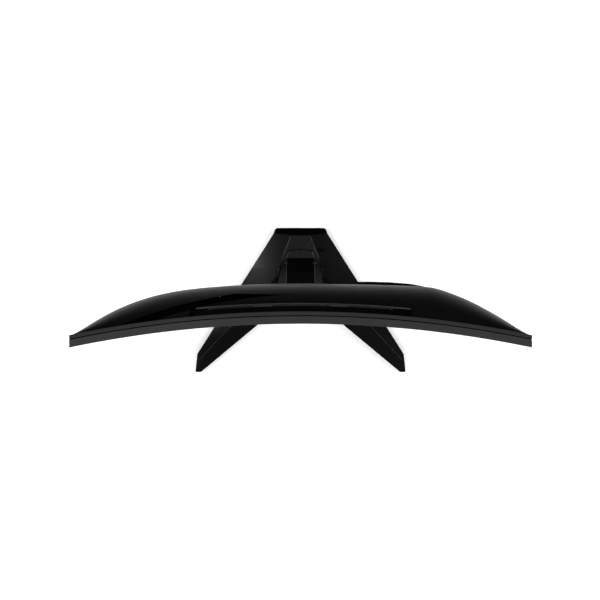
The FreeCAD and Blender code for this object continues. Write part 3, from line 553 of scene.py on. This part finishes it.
def stand_lines():
    """Painted shadow in the groove round the collar and along the neck's outer rear edges, and painted
    highlight lines on the base's ridges, the collar and the neck's inner rear edges.
    """
    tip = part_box("base_cover")[1][0]
    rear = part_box("neck_collar")[1][1]
    turns = [step / ARC_STEPS for step in range(-ARC_STEPS, ARC_STEPS + 1)]
    arc = [(ARC_HALF * turn, rear - ARC_SAG * turn ** 2) for turn in turns]
    laid("collar_groove_shadow", arc, 0.0008, SHADOW)
    for name, side, ridge_highlight_look in (("left", -1, EDGE_HIGHLIGHT), ("right", 1, LIP_AND_HIGHLIGHT)):
        leg = [(side * (tip - inset), y) for inset, y in LEG]
        ridge, collar_side, tick = ([(side * x, rear + y) for x, y in line]
                                    for line in (RIDGE, COLLAR_SIDE, COLLAR_TICK))
        laid("ridge_highlight_" + name, ridge, 0.00045, ridge_highlight_look)
        laid("leg_highlight_" + name, leg, 0.0003, EDGE_HIGHLIGHT)
        laid("collar_highlight_" + name, collar_side, 0.0005, LIP_AND_HIGHLIGHT)
        laid("collar_tick_highlight_" + name, tick, 0.0005, LIP_AND_HIGHLIGHT)
        neck = "neck_side_" + name
        outer, inner = (creases(neck, *fold, is_long) for fold in (OUTER_FOLD, INNER_FOLD))
        bead("neck_shadow_" + name, outer, 0.0007, SHADOW, "stand")
        bead("neck_highlight_line_" + name, inner, 0.0004, NECK_HIGHLIGHT, "stand")


vent_lip()
seam_shadow_cord()
stand_lines()


# Floor, light and camera -------------------------------------------------------------------------

def floor():
    """A plain pale floor, just under the feet."""
    reach, below = 4.0, 0.0002
    made = Nodes("floor")
    made.colour(made.ramp(made.noise(2.0), [(0.3, (0.8, 0.8, 0.8)), (0.7, (0.84, 0.84, 0.84))]))
    made.set(Roughness=0.7, Specular_IOR_Level=0.2, Emission_Color=(1, 1, 1, 1), Emission_Strength=0.36)
    mesh = bpy.data.meshes.new("floor")
    corners = [(-reach, -reach, 0), (reach, -reach, 0), (reach, reach, 0), (-reach, reach, 0)]
    mesh.from_pydata(corners, [], [(0, 1, 2, 3)])
    mesh.materials.append(made.material)
    plane = bpy.data.objects.new("floor", mesh)
    plane.location.z = cad_box[0][2] - below
    bpy.context.scene.collection.objects.link(plane)


def lamp(name, place, wide, tall, power):
    """A soft box aimed at the lower part of the monitor."""
    aim = Vector((0, 0, 0.2))
    data = bpy.data.lights.new(name, "AREA")
    data.shape = "RECTANGLE"
    data.size = wide
    data.size_y = tall
    data.energy = power
    made = bpy.data.objects.new(name, data)
    made.location = place
    made.rotation_euler = (aim - Vector(place)).to_track_quat("-Z", "Y").to_euler()
    bpy.context.scene.collection.objects.link(made)


def light():
    """A bright floor and horizon under a dark ceiling, with soft boxes to the sides and in front."""
    world = bpy.data.worlds.new("world")
    bpy.context.scene.world = world
    world.use_nodes = True
    tree = world.node_tree
    place = tree.nodes.new("ShaderNodeTexCoord")
    split = tree.nodes.new("ShaderNodeSeparateXYZ")
    height = tree.nodes.new("ShaderNodeMapRange")
    fade = tree.nodes.new("ShaderNodeValToRGB")
    tree.links.new(place.outputs["Generated"], split.inputs["Vector"])
    tree.links.new(split.outputs["Z"], height.inputs["Value"])
    height.inputs["From Min"].default_value = -0.1
    tree.links.new(height.outputs["Result"], fade.inputs["Fac"])
    tree.links.new(fade.outputs["Color"], tree.nodes["Background"].inputs["Color"])
    row = fade.color_ramp.elements
    for place_at, level in ((0.20, 1.0), (0.26, 0.25), (0.31, 0.04)):
        row.new(place_at).color = (level, level, level, 1)
    row[0].color = (1, 1, 1, 1)
    row[-1].color = (0.03, 0.03, 0.03, 1)
    tree.nodes["Background"].inputs["Strength"].default_value = 1.0
    lamp("left_box", (-2.3, 0.1, 1.7), 1.8, 1.6, 84)
    lamp("right_box", (2.6, 0.1, 1.25), 1.8, 1.4, 95)
    lamp("top_box", (0, 0.62, 3.3), 1.2, 0.8, 2.2)
    lamp("front_box", (0, -2.6, 1.5), 2.6, 1.4, 62)


def camera():
    """Straight down on the top edge, with the rear of the monitor up in the picture."""
    distance, left_of_middle = 2.45, 0.0008
    head_wide, head_share = 0.6115, 463 / 600    # the head's width, and its share of the picture's
    data = bpy.data.cameras.new("camera")
    data.sensor_width = 36.0
    data.lens = data.sensor_width * distance / (head_wide / head_share)
    data.clip_start = 0.05
    made = bpy.data.objects.new("camera", data)
    made.location = (-left_of_middle, 0, cad_box[1][2] + distance)
    bpy.context.scene.collection.objects.link(made)
    bpy.context.scene.camera = made


floor()
light()
camera()
bpy.context.scene.view_settings.view_transform = "Standard"
